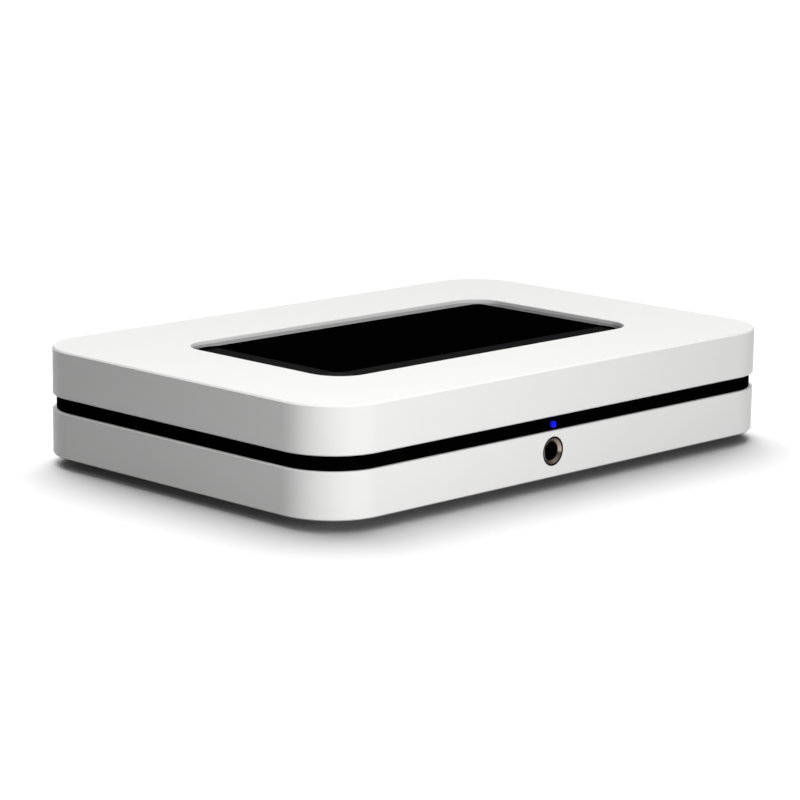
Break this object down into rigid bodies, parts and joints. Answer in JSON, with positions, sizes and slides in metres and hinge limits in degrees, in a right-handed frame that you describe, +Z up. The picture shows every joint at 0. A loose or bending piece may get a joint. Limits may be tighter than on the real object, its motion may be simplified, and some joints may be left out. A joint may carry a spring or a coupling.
{
  "type": "network music streamer",
  "caption": "Flat white network music streamer with rounded corners, a black waist band, a bevelled black touch panel sunk in the top, a front headphone socket and a recessed rear socket bay.",
  "frame": {"origin": "centre of the footprint, on the surface that the feet stand on", "axes": "+X to the right as seen from the front, +Y to the rear sockets, +Z up"},
  "size_m": [0.22, 0.146, 0.04],
  "materials": {
    "white_shell": "satin",
    "black_band": "matte",
    "black_glass": "polished",
    "black_tape": "matte",
    "foot_rubber": "matte",
    "steel": "zinc plated",
    "black_panel": "fine texture",
    "socket_black": "satin",
    "socket_grey": "satin",
    "nickel": "nickel plated",
    "gold": "gold plated",
    "jack_metal": "nickel plated",
    "red_lens": "clear",
    "blue_lens": "frosted",
    "dark_lens": "smoked",
    "led_white": "moulded",
    "insert_red": "moulded",
    "insert_white": "moulded",
    "insert_black": "moulded",
    "board_green": "solder mask",
    "sheet_grey": "matte",
    "chip_black": "moulded",
    "sink_aluminium": "extruded",
    "socket_cream": "moulded",
    "cable_white": "smooth",
    "cable_grey": "smooth",
    "cable_black": "smooth",
    "ferrite": "sintered",
    "tape_yellow": "wound and taped",
    "can_black": "sleeved can",
    "choke_grey": "moulded",
    "fuse_glass": "clear"
  },
  "bodies": {
    "case": {"aerial_leads": "cable_black", "aerials": "cable_black", "board_chips": "chip_black", "board_screws": "steel", "bottom_shell": "white_shell", "bulk_capacitor": "can_black", "cable_sockets": "socket_cream", "case_screws": "steel", "center_band": "black_band", "feet": "foot_rubber", "front_board": "board_green", "front_cable": "cable_grey", "fuse_clips": "nickel", "glass_tape": "black_tape", "hdmi_shell": "nickel", "hdmi_tongue": "socket_black", "headphone_body": "socket_black", "headphone_contacts": "gold", "headphone_sleeve": "jack_metal", "heat_sink": "sink_aluminium", "infrared_receiver": "dark_lens", "inlet_pins": "nickel", "insulation_sheet": "sheet_grey", "lan_contacts": "gold", "lan_shield": "nickel", "lan_socket": "socket_black", "main_board": "board_green", "mains_choke": "choke_grey", "mains_fuse": "fuse_glass", "mini_jack_sockets": "socket_black", "optical_emitter": "red_lens", "optical_output": "socket_black", "power_board": "board_green", "power_cable": "cable_grey", "power_heat_sink": "sink_aluminium", "power_inlet": "socket_black", "power_transistor": "chip_black", "processor": "chip_black", "rca_block": "socket_black", "rca_insert_bass": "insert_black", "rca_insert_digital": "insert_black", "rca_insert_left": "insert_white", "rca_insert_right": "insert_red", "rca_sleeves": "gold", "rear_panel": "black_panel", "shield_can": "nickel", "small_capacitors": "can_black", "status_led": "led_white", "status_lens": "blue_lens", "top_shell": "white_shell", "touch_board": "board_green", "touch_glass": "black_glass", "touch_ribbon": "cable_white", "transformer_core": "ferrite", "transformer_winding": "tape_yellow", "usb_shell": "nickel", "usb_tongue": "socket_black"},
    "shutter": {"optical_shutter": "socket_grey"}
  },
  "joints": [
    {"name": "shutter_hinge", "type": "hinge", "parent": "case", "child": "shutter", "pos_m": [0.01336, 0.0624, 0.0207], "axis": [-1, 0, 0], "range_deg": [0, 88], "stiffness_Nm_per_rad": 0.00005, "springref_deg": -28.65}
  ]
}
